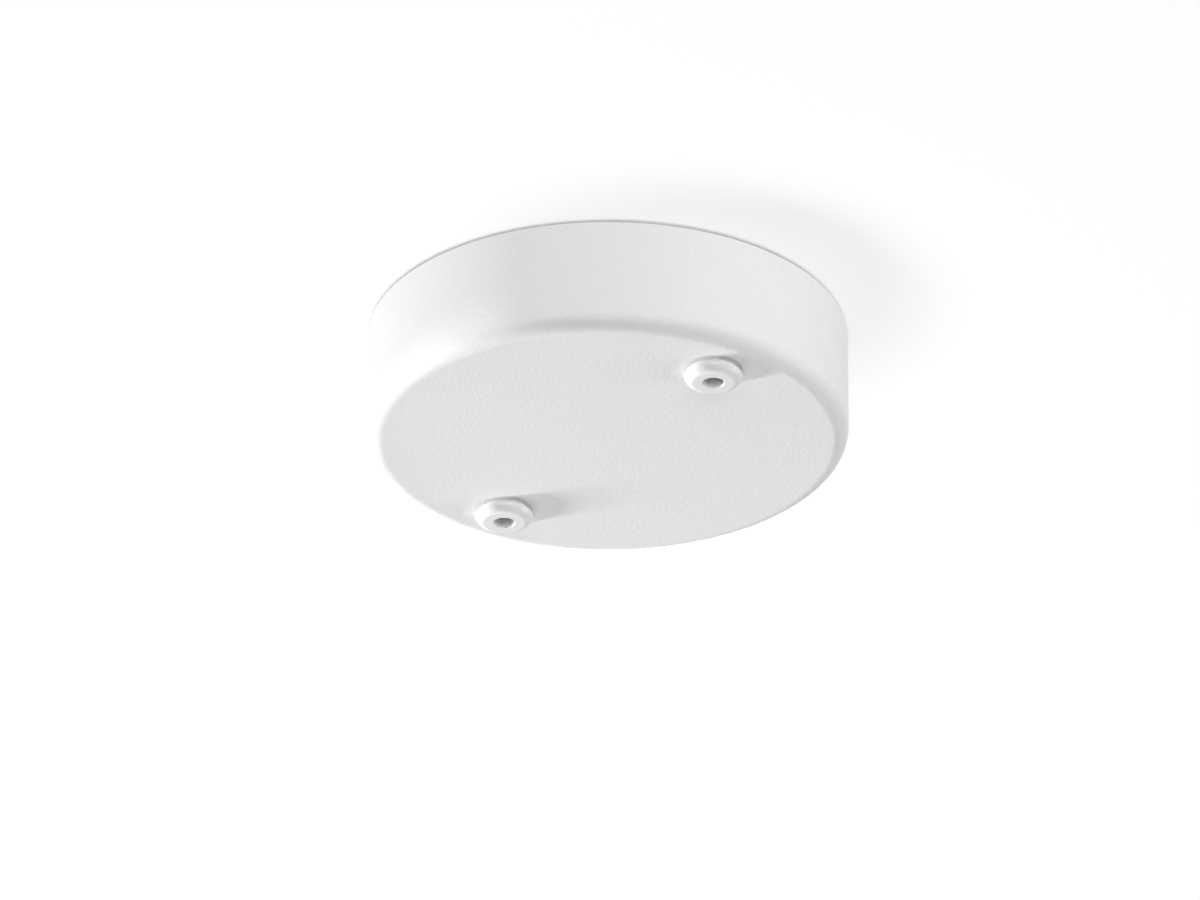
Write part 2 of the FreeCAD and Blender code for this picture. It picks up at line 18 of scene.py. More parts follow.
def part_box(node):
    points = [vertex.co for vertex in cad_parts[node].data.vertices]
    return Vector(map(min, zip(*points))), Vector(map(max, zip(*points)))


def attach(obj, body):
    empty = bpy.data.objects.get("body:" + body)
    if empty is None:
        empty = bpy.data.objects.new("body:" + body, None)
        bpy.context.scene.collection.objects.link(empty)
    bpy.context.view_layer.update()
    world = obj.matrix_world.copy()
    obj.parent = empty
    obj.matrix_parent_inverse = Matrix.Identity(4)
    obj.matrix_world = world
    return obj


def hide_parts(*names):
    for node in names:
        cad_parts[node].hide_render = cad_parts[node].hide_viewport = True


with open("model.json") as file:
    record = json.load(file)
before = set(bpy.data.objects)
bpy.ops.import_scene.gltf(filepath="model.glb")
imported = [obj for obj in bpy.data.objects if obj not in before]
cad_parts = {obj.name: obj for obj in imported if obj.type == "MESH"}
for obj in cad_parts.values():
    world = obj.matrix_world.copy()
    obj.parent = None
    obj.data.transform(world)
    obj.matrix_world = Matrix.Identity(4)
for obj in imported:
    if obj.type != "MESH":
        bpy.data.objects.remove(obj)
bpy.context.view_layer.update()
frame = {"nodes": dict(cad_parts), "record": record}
MM = 0.001


def box_mm(node):
    """Lowest and highest corner of a node, in millimetres."""
    low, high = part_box(node)
    return Vector(low) / MM, Vector(high) / MM


canopy_low, canopy_high = box_mm("canopy_shell")
_, plate_high = box_mm("mounting_plate")
print("canopy from", tuple(canopy_low), "to", tuple(canopy_high))

# %% [markdown]
# The photograph is taken from below with a very long lens, so the round face is a clean ellipse
# and near and far sides are almost the same size. The camera here was fitted to the outline of
# the canopy and to the two outlets: its direction is kept as two angles, and its place as the
# distance from the middle of the canopy's rim and that point's offset from the optical axis.

# %% Camera
CAMERA_AZIMUTH_DEG = 54.7
CAMERA_LOOK_UP_DEG = 28.27
CAMERA_DISTANCE = 3271.0
RIM_RIGHT_OF_AXIS = 1.909
RIM_ABOVE_AXIS = 27.702
FOCAL_PIXELS = 13095.0
PICTURE_WIDTH_PIXELS = 1200.0
SENSOR_WIDTH = 36.0
CAMERA_SEES_FROM = 50.0
CAMERA_SEES_TO = 50000.0

azimuth = math.radians(CAMERA_AZIMUTH_DEG)
look_up = math.radians(CAMERA_LOOK_UP_DEG)
view_right = Vector((math.cos(azimuth), math.sin(azimuth), 0))
view_away = Vector((-math.sin(azimuth), math.cos(azimuth), 0))
view_forward = view_away * math.cos(look_up) + Vector((0, 0, math.sin(look_up)))
view_up = view_right.cross(view_forward)
rim_middle = Vector((0, 0, canopy_high.z))
camera_place = (rim_middle - view_forward * CAMERA_DISTANCE
                - view_right * RIM_RIGHT_OF_AXIS - view_up * RIM_ABOVE_AXIS)

camera_data = bpy.data.cameras.new("camera")
camera_data.sensor_width = SENSOR_WIDTH
camera_data.lens = SENSOR_WIDTH * FOCAL_PIXELS / PICTURE_WIDTH_PIXELS
camera_data.clip_start = CAMERA_SEES_FROM * MM
camera_data.clip_end = CAMERA_SEES_TO * MM
camera = bpy.data.objects.new("camera", camera_data)
turn_of_camera = Matrix((view_right, view_up, -view_forward)).transposed().to_4x4()
camera.matrix_world = Matrix.Translation(camera_place * MM) @ turn_of_camera
bpy.context.scene.collection.objects.link(camera)
bpy.context.scene.camera = camera
bpy.context.scene.view_settings.view_transform = "Standard"
print("lens", round(camera_data.lens, 1), "mm, camera at",
      tuple(round(v) for v in camera_place), "mm")

# %% [markdown]
# Every material is a network of small nodes. One function adds a node with its settings and
# its inputs, where an input is either a plain value or the output of another node. Colours are
# written as the hex values that a painter's chart gives, and one function turns them to the
# linear values that the renderer works in, by the curve of the sRGB standard. The sizes of
# patterns are written in millimetres, and a range of values as its two ends.

# %% Node helpers
def srgb(hex_colour):
    """Linear colour of a hex code such as #EDEDED."""
    channels = [int(hex_colour[i:i + 2], 16) / 255 for i in (1, 3, 5)]
    linear = [c / 12.92 if c <= 0.04045 else ((c + 0.055) / 1.055) ** 2.4 for c in channels]
    return (*linear, 1.0)


def add(tree, kind, inputs=None, **settings):
    """Add a node; inputs are values or other nodes' outputs, by the input's name or number."""
    node = tree.nodes.new("ShaderNode" + kind)
    for key, value in settings.items():
        setattr(node, key, value)
    for key, value in (inputs or {}).items():
        if isinstance(value, bpy.types.NodeSocket):
            tree.links.new(value, node.inputs[key])
        else:
            node.inputs[key].default_value = value
    return node


def per_mm(size):
    """Texture scale at which one step of the pattern is size millimetres long."""
    return 1 / (size * MM)


def span(which, ends):
    """The two From or the two To inputs of a node that maps one range to another."""
    return {which + " Min": ends[0], which + " Max": ends[1]}


def new_tree(name):
    """Material with an empty network."""
    material = bpy.data.materials.new(name)
    material.use_nodes = True
    material.node_tree.nodes.clear()
    return material, material.node_tree


def output(tree, shader):
    """End the network of a material with its shader."""
    add(tree, "OutputMaterial", {"Surface": shader.outputs[0]})


print("#808080 is", round(srgb("#808080")[0], 3), "in linear light")

# %% [markdown]
# Nearly every piece here is round, so its mesh is built from rings of points about an upright
# axis. One function makes a ring, and another joins two rings by a band of faces. A radius may
# also be a function of the angle, which is how a thread is cut further down.

# %% Rings
def ring_of(net, radius, z, segments, x=0.0, y=0.0):
    """Ring of points about the axis at (x, y)."""
    ring = []
    for k in range(segments):
        angle = 2 * math.pi * k / segments
        reach = radius(angle) if callable(radius) else radius
        ring.append(net.verts.new(((x + reach * math.cos(angle)) * MM,
                                   (y + reach * math.sin(angle)) * MM, z * MM)))
    return ring


def join(net, here, there):
    """Band of faces between two rings that have as many points."""
    for k in range(len(here)):
        after = (k + 1) % len(here)
        net.faces.new((here[k], here[after], there[after], there[k]))


# %% [markdown]
# The rose hangs against a white ceiling. The ceiling is a flat ring round the fitting, because
# the plate's screws and the supply cable need the space in its middle. Seen from below it is
# plain white and keeps the soft shadow of the canopy; it also throws light back down at the
# canopy's wall, as a pale ceiling does. From above it isn't drawn, so that the back of the
# fitting can be seen. An occlusion node measures how open the ceiling lies at each point. Beside
# a wall half of the view is open and the glow stays; above the rim only a sliver is, so there it
# goes, and the narrow gap between canopy and ceiling stays dark. Most of the white is this glow
# and the paint under it is grey, so that light thrown up by the wall doesn't wash out the shadow.

# %% Ceiling
CEILING_GAP = 0.05
CEILING_HOLE_MARGIN = 0.7
CEILING_REACH = 4000.0
CEILING_SEGMENTS = 128
CEILING_GLOW = 0.835
CEILING_PAINT = "#808080"
CEILING_BOUNCE = 0.80
CEILING_CONTACT = 1.5
CEILING_WHITE = "#FFFFFF"
GAP_OPEN_SHARES = (0.25, 0.55)


def ceiling_material():
    material, tree = new_tree("ceiling_paint")
    path = add(tree, "LightPath")
    # The glow fades where the occlusion node finds the ceiling closed in, which paints shade into
    # the gap above the rim.
    open_share = add(tree, "AmbientOcclusion", {"Distance": CEILING_CONTACT * MM}, samples=4)
    strength = add(tree, "MapRange", {"Value": open_share.outputs["AO"],
                                      **span("From", GAP_OPEN_SHARES),
                                      **span("To", (0.0, CEILING_GLOW))})
    glow = add(tree, "Emission", {"Color": srgb(CEILING_WHITE), "Strength": strength.outputs[0]})
    paint = add(tree, "BsdfDiffuse", {"Color": srgb(CEILING_PAINT)})
    seen = add(tree, "AddShader", {0: glow.outputs[0], 1: paint.outputs[0]})
    bounce = add(tree, "Emission", {"Color": srgb(CEILING_WHITE), "Strength": CEILING_BOUNCE})
    front = add(tree, "MixShader", {0: path.outputs["Is Camera Ray"], 1: bounce.outputs[0],
                                    2: seen.outputs[0]})
    from_above = add(tree, "Math", {0: add(tree, "NewGeometry").outputs["Backfacing"],
                                    1: path.outputs["Is Camera Ray"]}, operation="MULTIPLY")
    output(tree, add(tree, "MixShader", {0: from_above.outputs[0], 1: front.outputs[0],
                                         2: add(tree, "BsdfTransparent").outputs[0]}))
    return material


def ceiling():
    """Flat ring just above the top of the fitting."""
    mesh = bpy.data.meshes.new("ceiling")
    net = bmesh.new()
    hole, rim = (ring_of(net, radius, CEILING_GAP, CEILING_SEGMENTS)
                 for radius in (plate_high.x - CEILING_HOLE_MARGIN, CEILING_REACH))
    join(net, hole, rim)
    net.to_mesh(mesh)
    net.free()
    mesh.materials.append(ceiling_material())
    board = bpy.data.objects.new("ceiling", mesh)
    bpy.context.scene.collection.objects.link(board)
    print("ceiling faces down:", mesh.polygons[0].normal.z < 0)
    return board


CEILING = ceiling()

# %% [markdown]
# The light is a studio set. A small hard key stands low at the left and grazes the flat face, so
# the bushes throw long crisp shadows across it. Big soft boxes all round fill in the wall and
# its lower edge. One more hangs above the ceiling and is only seen by the back of the fitting.
#
# Each lamp is placed by two angles about the fitting, as seen by the camera: 0 degrees is the
# right of the picture and 90 degrees is away from the camera, and a negative height is below
# the ceiling. Its level is the brightness that it gives to white paint turned straight at it.

# %% Lamp places
LAMP_DISTANCE = 1800.0
KEY_ANGLE_DEG = 161
KEY_HEIGHT_DEG = -11.5
SOFTBOXES = (
    # name, angle, height, width, length, level
    ("key", KEY_ANGLE_DEG, KEY_HEIGHT_DEG, 120, 450, 0.72),
    ("front", 273, -12, 1600, 700, 0.50),
    ("right", 0, -16, 700, 700, 0.37),
    ("back_below", 90, -60, 700, 700, 0.34),
    ("left_below", 140, -42, 700, 700, 0.25),
    ("above", 235, 60, 900, 900, 0.90),
)
CEILING_LAMP = ("ceiling_lamp", 135, -47, 1600, 600, 1.35)


def lamp_way(angle_deg, height_deg):
    """Level direction towards a lamp, and its full direction."""
    angle, height = math.radians(angle_deg), math.radians(height_deg)
    level_way = view_right * math.cos(angle) + view_away * math.sin(angle)
    return level_way, level_way * math.cos(height) + Vector((0, 0, math.sin(height)))


def watts(level):
    """Power of a flat lamp that gives this level at the fitting."""
    return level * (math.pi * LAMP_DISTANCE * MM) ** 2


print("a lamp of level 1 has", round(watts(1)), "watts")

# %% [markdown]
# The ceiling has a lamp of its own, because a key this low would throw shadows right across it.
# Light linking does that: each lamp has a collection of what it lights. The ceiling's lamp
# stands further down at the left, so the canopy's shadow on the ceiling is short and soft and
# falls to the right.

# %% Light linking
def lit_by(name, link_state):
    """Collection that says whether a lamp lights the ceiling alone or all but the ceiling."""
    chosen = bpy.data.collections.new(name)
    chosen.objects.link(CEILING)
    chosen.collection_objects[0].light_linking.link_state = link_state
    return chosen


ON_FITTING = lit_by("all_but_ceiling", "EXCLUDE")
ON_CEILING = lit_by("ceiling_alone", "INCLUDE")
print("made", ON_FITTING.name, "and", ON_CEILING.name)

# %% [markdown]
# A soft box is a flat lamp, so its shadows get softer with the distance, and it isn't seen by
# the camera itself.

# %% Soft boxes
def place_lamp(data, way, back, lights=ON_FITTING):
    """Put a lamp on its way from the fitting; back points against its beam."""
    lamp = bpy.data.objects.new(data.name, data)
    lamp.location = way * LAMP_DISTANCE * MM
    lamp.rotation_euler = back.to_track_quat("Z", "Y").to_euler()
    lamp.visible_camera = False
    lamp.light_linking.receiver_collection = lights
    bpy.context.scene.collection.objects.link(lamp)
    return lamp


def softbox(name, angle_deg, height_deg, width, length, level, lights=ON_FITTING):
    """Rectangular lamp aimed at the fitting; length is its upright side."""
    _, way = lamp_way(angle_deg, height_deg)
    data = bpy.data.lights.new(name, "AREA")
    data.shape = "RECTANGLE"
    data.size, data.size_y = width * MM, length * MM
    data.energy = watts(level)
    place_lamp(data, way, way, lights)


for lamp_values in SOFTBOXES:
    softbox(*lamp_values)
softbox(*CEILING_LAMP, lights=ON_CEILING)
print("soft boxes:", [data.name for data in bpy.data.lights])

# %% [markdown]
# To keep the left wall from burning out, a part of the key comes from five small lamps one above
# the other at the same place, whose beams are cut off just below the wall, as with a barn door.
# Each throws a shadow of its own length, so the tips of the shadows fade out as they do under a
# tall lamp. They go down with the canopy.
#
# A spot's watts are counted over the whole sphere, so along its axis it gives a quarter of the
# light that a flat lamp of the same power gives.

# %% Grazing key
GRAZING_HEIGHTS_DEG = (-5.5, -8.5, -11.5, -14.5, -17.5)
GRAZING_LEVEL = 0.12
GRAZING_SIZE = 10.0
GRAZING_TOP_Z = -27.0
GRAZING_HALF_CONE_DEG = 30.0
GRAZING_BLEND = 0.01
SPOT_AXIS_SHARE = 0.25


def grazing_lamp(height_deg):
    """Round lamp beside the key; its beam passes below the wall, wherever the canopy is."""
    level_way, way = lamp_way(KEY_ANGLE_DEG, height_deg)
    data = bpy.data.lights.new("grazing_key", "SPOT")
    data.shadow_soft_size = GRAZING_SIZE / 2 * MM
    data.spot_size = math.radians(2 * GRAZING_HALF_CONE_DEG)
    data.spot_blend = GRAZING_BLEND
    data.energy = watts(GRAZING_LEVEL) / SPOT_AXIS_SHARE
    edge = level_way * canopy_high.x + Vector((0, 0, GRAZING_TOP_Z)) - way * LAMP_DISTANCE
    rise = math.asin(edge.z / edge.length) - math.radians(GRAZING_HALF_CONE_DEG)
    lamp = place_lamp(data, way, level_way * math.cos(rise) - Vector((0, 0, math.sin(rise))))
    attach(lamp, "canopy")


for lamp_height in GRAZING_HEIGHTS_DEG:
    grazing_lamp(lamp_height)
print("grazing lamps:", len(GRAZING_HEIGHTS_DEG))

# %% [markdown]
# The world is plain white to the camera. In reflections it is a dim grey, as a pale room beyond
# the lamps would be, so the metal inside keeps some contrast.

# %% Surroundings
BACKDROP_WHITE = "#FFFFFF"
REFLECTED_LEVEL = 0.35


def surroundings():
    """White to the camera, and a dim grey in reflections."""
    world = bpy.data.worlds.new("surroundings")
    world.use_nodes = True
    tree = world.node_tree
    tree.nodes.clear()
    path = add(tree, "LightPath")
    reflected = add(tree, "Math", {0: path.outputs["Is Glossy Ray"], 1: REFLECTED_LEVEL},
                    operation="MULTIPLY")
    level = add(tree, "Math", {0: path.outputs["Is Camera Ray"], 1: reflected.outputs[0]},
                operation="MAXIMUM")
    glow = add(tree, "Background", {"Color": srgb(BACKDROP_WHITE), "Strength": level.outputs[0]})
    add(tree, "OutputWorld", {"Surface": glow.outputs[0]})
    bpy.context.scene.world = world


surroundings()
print("made", bpy.context.scene.world.name)

# %% [markdown]
# The canopy is deep-drawn sheet steel with a white polyester powder coat. The powder melts and
# flows out in the oven, but never quite flat: it keeps a faint orange peel, with waves of about
# a millimetre, and a finer grain on top. So the highlights stay wide and slightly broken, and
# the edges look soft. Two bumps draw the waves and the grain. A white surface that is lit from
# all sides hardly shows a bump, so the grain also gets painted shade: where the grain's pattern
# is high, the colour turns a slightly darker white. The grain is drawn a little coarser than it
# is, at 0.6 mm, because a finer one would be smaller than a pixel.

# %% White powder coat
POWDER_WHITE = "#F2F2F2"
POWDER_SHADE = "#EEEEEE"
POWDER_PAINTED_SHADE = "#EBEBEB"
POWDER_WAVE = 1.2
POWDER_GRAIN = 0.6
POWDER_CLOUD = 14.0
POWDER_RELIEF = 0.05
POWDER_PAINTED_SHADE_RANGE = (0.35, 0.65)
POWDER_ROUGHNESS = (0.48, 0.62)
POWDER_IOR = 1.5


def powder_coat():
    material, tree = new_tree("white_polyester_powder_coat")
    place = add(tree, "TexCoord").outputs["Object"]
    waves = add(tree, "TexNoise", {"Vector": place, "Scale": per_mm(POWDER_WAVE), "Detail": 2.0})
    grain = add(tree, "TexNoise", {"Vector": place, "Scale": per_mm(POWDER_GRAIN), "Detail": 3.0,
                                   "Roughness": 0.6})
    clouds = add(tree, "TexNoise", {"Vector": place, "Scale": per_mm(POWDER_CLOUD),
                                    "Detail": 2.0})
    patches = add(tree, "MixRGB", {"Fac": clouds.outputs["Fac"], "Color1": srgb(POWDER_WHITE),
                                   "Color2": srgb(POWDER_SHADE)})
    # Painted shade: part of the grain is drawn a slightly darker white, standing in for its
    # shading.
    painted_shade = add(tree, "MapRange", {"Value": grain.outputs["Fac"],
                                   **span("From", POWDER_PAINTED_SHADE_RANGE)})
    colour = add(tree, "MixRGB", {"Fac": painted_shade.outputs[0], "Color1": patches.outputs[0],
                                  "Color2": srgb(POWDER_PAINTED_SHADE)})
    peel = add(tree, "Bump", {"Height": waves.outputs["Fac"], "Distance": POWDER_RELIEF * MM,
                              "Strength": 1.0})
    fine = add(tree, "Bump", {"Height": grain.outputs["Fac"], "Distance": POWDER_RELIEF * MM,
                              "Strength": 1.0, "Normal": peel.outputs[0]})
    gloss = add(tree, "MapRange", {"Value": grain.outputs["Fac"], **span("To", POWDER_ROUGHNESS)})
    output(tree, add(tree, "BsdfPrincipled", {
        "Base Color": colour.outputs[0], "Roughness": gloss.outputs[0], "IOR": POWDER_IOR,
        "Normal": fine.outputs[0]}))
    return material


POWDER_COAT = powder_coat()
print("made", POWDER_COAT.name)

# %% [markdown]
# The bushes are injection-moulded white polyamide. A mould gives a closer, smoother skin than
# powder does, so they shine a little more than the canopy and have only a very fine texture
# from the tool, which is drawn coarser than it is so that it shows.

# %% White moulded polyamide
POLYAMIDE_WHITE = "#F1F1F1"
POLYAMIDE_IOR = 1.53
MOULD_GRAIN = 0.35
MOULD_RELIEF = 0.004
MOULD_FLOW = 4.0
MOULD_ROUGHNESS = (0.34, 0.42)


def moulded_polyamide():
    material, tree = new_tree("white_moulded_polyamide")
    place = add(tree, "TexCoord").outputs["Object"]
    skin = add(tree, "TexNoise", {"Vector": place, "Scale": per_mm(MOULD_GRAIN), "Detail": 2.0})
    flow = add(tree, "TexNoise", {"Vector": place, "Scale": per_mm(MOULD_FLOW), "Detail": 1.0})
    texture = add(tree, "Bump", {"Height": skin.outputs["Fac"], "Distance": MOULD_RELIEF * MM,
                                 "Strength": 1.0})
    gloss = add(tree, "MapRange", {"Value": flow.outputs["Fac"], **span("To", MOULD_ROUGHNESS)})
    output(tree, add(tree, "BsdfPrincipled", {
        "Base Color": srgb(POLYAMIDE_WHITE), "Roughness": gloss.outputs[0], "IOR": POLYAMIDE_IOR,
        "Normal": texture.outputs[0]}))
    return material


BUSH_POLYAMIDE = moulded_polyamide()
print("made", BUSH_POLYAMIDE.name)

# %% [markdown]
# Turned and drawn pieces are all made the same way here: a profile of radius and height is
# carried round an upright axis. A round corner is worked out as points on its arc, close enough
# together to look round from near by. Every new mesh then becomes a piece in the same way: it
# gets its material, smooth shading with crisp edges, and the nodes of the model it stands for.

# %% Turning
def bend(centre_r, centre_z, radius, first_deg, last_deg, steps=8):
    """Points of a round corner in a turned profile."""
    angles = [math.radians(first_deg + (last_deg - first_deg) * i / steps)
              for i in range(steps + 1)]
    return [(centre_r + radius * math.cos(a), centre_z + radius * math.sin(a)) for a in angles]


def turn(net, profile, segments, closed=True, x=0.0, y=0.0):
    """Carry a profile of (radius, z) round the axis at (x, y); an open one is capped."""
    rings = [ring_of(net, radius, z, segments, x, y) for radius, z in profile]
    for here, there in zip(rings, rings[1:]):
        join(net, here, there)
    if closed:
        join(net, rings[-1], rings[0])
    else:
        net.faces.new(rings[0])
        net.faces.new(rings[-1])


def piece(name, net, material, body, nodes, sharp_deg=35.0):
    """Make a mesh a piece of the fitting that stands for the given nodes."""
    bmesh.ops.recalc_face_normals(net, faces=net.faces)
    mesh = bpy.data.meshes.new(name)
    net.to_mesh(mesh)
    net.free()
    mesh.polygons.foreach_set("use_smooth", [True] * len(mesh.polygons))
    mesh.set_sharp_from_angle(angle=math.radians(sharp_deg))
    mesh.materials.append(material)
    made = bpy.data.objects.new(name, mesh)
    bpy.context.scene.collection.objects.link(made)
    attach(made, body)
    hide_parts(*nodes)
    print(name, "has", len(mesh.polygons), "faces")


# %% [markdown]
# The canopy is one drawn cup: a flat face, a round lower edge of four millimetres, a straight
# wall and an open rim with softened edges. It is turned in one go, apart from the flat face,
# which has two round holes for the bushes and is filled in between its circles. A ring of
# points just inside the round edge keeps the shading of the flat face truly flat.

# %% Canopy
CANOPY_WALL = 1.0
CANOPY_EDGE_RADIUS = 4.0
CANOPY_RIM_ROUNDING = 0.25
CANOPY_FLAT_BORDER = 0.6
CANOPY_SEGMENTS = 360
OUTLET_HOLE_RADIUS = 5.2
OUTLET_HOLE_SEGMENTS = 96
SIDES = ("left", "right")
canopy_radius = canopy_high.x
rim_z = canopy_high.z
face_z = canopy_low.z
inside_z = face_z + CANOPY_WALL


def outlet_place(side):
    """Axis of the outlet on one side."""
    low, high = box_mm("outlet_bush_" + side)
    return (low.x + high.x) / 2, (low.y + high.y) / 2


def loop_edges(net, ring):
    """The edges round a ring of points, made where they aren't there yet."""
    pairs = zip(ring, ring[1:] + ring[:1])
    return [net.edges.get(pair) or net.edges.new(pair) for pair in pairs]


def canopy():
    """Drawn cup, open at the top, with a hole for each bush."""
    net = bmesh.new()
    bend_r = canopy_radius - CANOPY_EDGE_RADIUS
    bend_z = face_z + CANOPY_EDGE_RADIUS
    inner_radius = CANOPY_EDGE_RADIUS - CANOPY_WALL
    wall_r = canopy_radius - CANOPY_WALL
    rim_centre_z = rim_z - CANOPY_RIM_ROUNDING
    flat_r = bend_r - CANOPY_FLAT_BORDER
    profile = [(flat_r, face_z)]
    profile += bend(bend_r, bend_z, CANOPY_EDGE_RADIUS, -90, 0, steps=24)
    profile += bend(canopy_radius - CANOPY_RIM_ROUNDING, rim_centre_z, CANOPY_RIM_ROUNDING, 0, 90)
    profile += bend(wall_r + CANOPY_RIM_ROUNDING, rim_centre_z, CANOPY_RIM_ROUNDING, 90, 180)
    profile += bend(bend_r, bend_z, inner_radius, 0, -90, steps=16)
    profile.append((flat_r, inside_z))
    rings = [ring_of(net, radius, z, CANOPY_SEGMENTS) for radius, z in profile]
    for here, there in zip(rings, rings[1:]):
        join(net, here, there)
    outer_edges, inner_edges = loop_edges(net, rings[0]), loop_edges(net, rings[-1])
    for side in SIDES:
        x, y = outlet_place(side)
        outer, inner = (ring_of(net, OUTLET_HOLE_RADIUS, z, OUTLET_HOLE_SEGMENTS, x, y)
                        for z in (face_z, inside_z))
        join(net, outer, inner)
        outer_edges += loop_edges(net, outer)
        inner_edges += loop_edges(net, inner)
    for edges in (outer_edges, inner_edges):
        bmesh.ops.triangle_fill(net, use_beauty=True, edges=edges)
    piece("canopy", net, POWDER_COAT, "canopy", ["canopy_shell"])


canopy()

# %% [markdown]
# Bushes and screws have outside threads. A thread could be swept along a helix, but then it
# has to be joined to its shank. Here it is a height field round the shank instead: the radius
# falls and rises once for each pitch, and the place of that wave moves on with the angle, which
# makes the helix. The groove is 0.6 of the pitch deep, with a flat of an eighth of the pitch at
# crest and root, much as on a metric thread.

# %% Threads
THREAD_ROWS_PER_PITCH = 8
THREAD_DEPTH_SHARE = 0.6
THREAD_FLAT_SHARE = 0.125


def thread(radius, bottom_z, top_z, pitch, chamfer, first=True, last=True):
    """Profile rows of an outside thread, tapered off at the ends that ask for it."""
    depth = THREAD_DEPTH_SHARE * pitch
    count = max(2, round((top_z - bottom_z) / pitch * THREAD_ROWS_PER_PITCH))
    rows = []
    for i in range(count + 1):
        z = bottom_z + (top_z - bottom_z) * i / count
        ends = [z - bottom_z if first else chamfer, top_z - z if last else chamfer]
        limit = radius - max(0.0, chamfer - min(ends))

        def reach(angle, z=z, limit=limit):
            phase = (z / pitch - angle / (2 * math.pi)) % 1.0
            slope = (abs(2 * phase - 1) - THREAD_FLAT_SHARE) / (1 - 2 * THREAD_FLAT_SHARE)
            return min(limit, radius - depth * min(1.0, max(0.0, slope)))

        rows.append((reach, z))
    return rows


# %% [markdown]
# Each cord leaves through a bush: a domed nose with a small hole, a groove where the nose
# meets its collar, and a hollow threaded shank that goes through the canopy and takes a nut
# inside. The groove matters for the look, because it draws a thin dark line under the flange.
# The nose is a true flat. Smooth shading would bend it into the dome around it, so a ring of
# points just inside each edge of the flat holds it level.

# %% Bushes
CORD_HOLE_RADIUS = 2.65
CORD_HOLE_DEPTH = 2.45
CORD_HOLE_ROUNDING = 0.25
BUSH_WALL = 1.3
BUSH_NOSE_RADIUS = 5.2
BUSH_FLAT_HOLD = 0.05
BUSH_NECK_RADIUS = 6.0
BUSH_UNDERCUT = 1.0
BUSH_COLLAR_RADIUS = 6.2
BUSH_COLLAR_HEIGHT = 0.25
BUSH_SHANK_RADIUS = 4.9
BUSH_FLANGE_EDGE = 0.35
BUSH_FLANGE_ROUNDING = 0.12
BUSH_DOME_START_DEG = 12.0
BUSH_THREAD_PITCH = 1.0
BUSH_THREAD_START = 0.1
BUSH_THREAD_RUNOUT = 0.4
BUSH_SEGMENTS = 144


def dome(nose_r, nose_z, rim_r, rim_z_end, start_deg, steps):
    """Arc from the nose to the flange that leaves the nose at start_deg to the level."""
    chord = math.atan2(rim_z_end - nose_z, rim_r - nose_r)
    start = math.radians(start_deg)
    radius = math.hypot(rim_r - nose_r, rim_z_end - nose_z) / 2 / math.sin(chord - start)
    centre = (nose_r - radius * math.sin(start), nose_z + radius * math.cos(start))
    last_deg = math.degrees(2 * chord - start) - 90
    return bend(*centre, radius, start_deg - 90, last_deg, steps)


def outlet_bush(side):
    """Turned bush in place of the engineered one."""
    node = "outlet_bush_" + side
    low, high = box_mm(node)
    flange_r = (high.x - low.x) / 2
    flange_z = face_z - BUSH_UNDERCUT
    dome_end_z = flange_z - BUSH_FLANGE_EDGE
    edge_r = flange_r - BUSH_FLANGE_ROUNDING
    edge_z = flange_z - BUSH_FLANGE_ROUNDING
    bore_r = BUSH_SHANK_RADIUS - BUSH_WALL
    hole_edge = CORD_HOLE_RADIUS + CORD_HOLE_ROUNDING
    profile = bend(hole_edge, low.z + CORD_HOLE_ROUNDING, CORD_HOLE_ROUNDING, 180, 270, steps=6)
    profile += [(hole_edge + BUSH_FLAT_HOLD, low.z), (BUSH_NOSE_RADIUS - BUSH_FLAT_HOLD, low.z)]
    profile += dome(BUSH_NOSE_RADIUS, low.z, flange_r, dome_end_z, BUSH_DOME_START_DEG, steps=24)
    profile += bend(edge_r, edge_z, BUSH_FLANGE_ROUNDING, 0, 90, steps=5)
    profile += [(BUSH_NECK_RADIUS, flange_z), (BUSH_NECK_RADIUS, face_z - BUSH_COLLAR_HEIGHT),
                (BUSH_COLLAR_RADIUS, face_z - BUSH_COLLAR_HEIGHT), (BUSH_COLLAR_RADIUS, face_z),
                (BUSH_SHANK_RADIUS, face_z), (BUSH_SHANK_RADIUS, inside_z)]
    profile += thread(BUSH_SHANK_RADIUS, inside_z + BUSH_THREAD_START, high.z,
                      BUSH_THREAD_PITCH, BUSH_THREAD_RUNOUT)
    profile += [(bore_r, high.z), (bore_r, low.z + CORD_HOLE_DEPTH),
                (CORD_HOLE_RADIUS, low.z + CORD_HOLE_DEPTH)]
    net = bmesh.new()
    turn(net, profile, BUSH_SEGMENTS, x=(low.x + high.x) / 2, y=(low.y + high.y) / 2)
    piece("bush_" + side, net, BUSH_POLYAMIDE, "canopy", [node])


for outlet_side in SIDES:
    outlet_bush(outlet_side)

# %% [markdown]
# The mounting plate is pressed from sheet steel and zinc plated. Rolling leaves fine straight
# lines in the sheet, and the plating shows soft cloudy patches of a slightly bluer and a
# slightly warmer grey. So the roughness changes along the lines, and the colour with the
# clouds. The lines are stretched noise: long along the sheet, narrow across it.
# Edges of sheet and turned steel are never razor sharp, so the shading is rounded a little
# there, by a bevel of a few tenths of a millimetre.
#
# Here and in the finishes that follow, the finest pattern is drawn at about a quarter to a third
# of a millimetre. That is coarser than it is, but a finer one would be lost between the pixels.

# %% Zinc-plated pressed steel
ZINC_BLUE = "#C3C7CB"
ZINC_WARM = "#D2D1CC"
ZINC_CLOUD = 7.0
ROLLED_LINE = 0.30
ROLLED_SCALE_ALONG = 0.04
ROLLED_RELIEF = 0.006
ROLLED_GLOSS_RANGE = (0.3, 0.7)
SHEET_ROUGHNESS = (0.26, 0.42)
SHEET_EDGE = 0.25


def soft_edges(tree, radius):
    """Normal of the surface with its edges rounded to radius millimetres."""
    return add(tree, "Bevel", {"Radius": radius * MM}, samples=6).outputs[0]


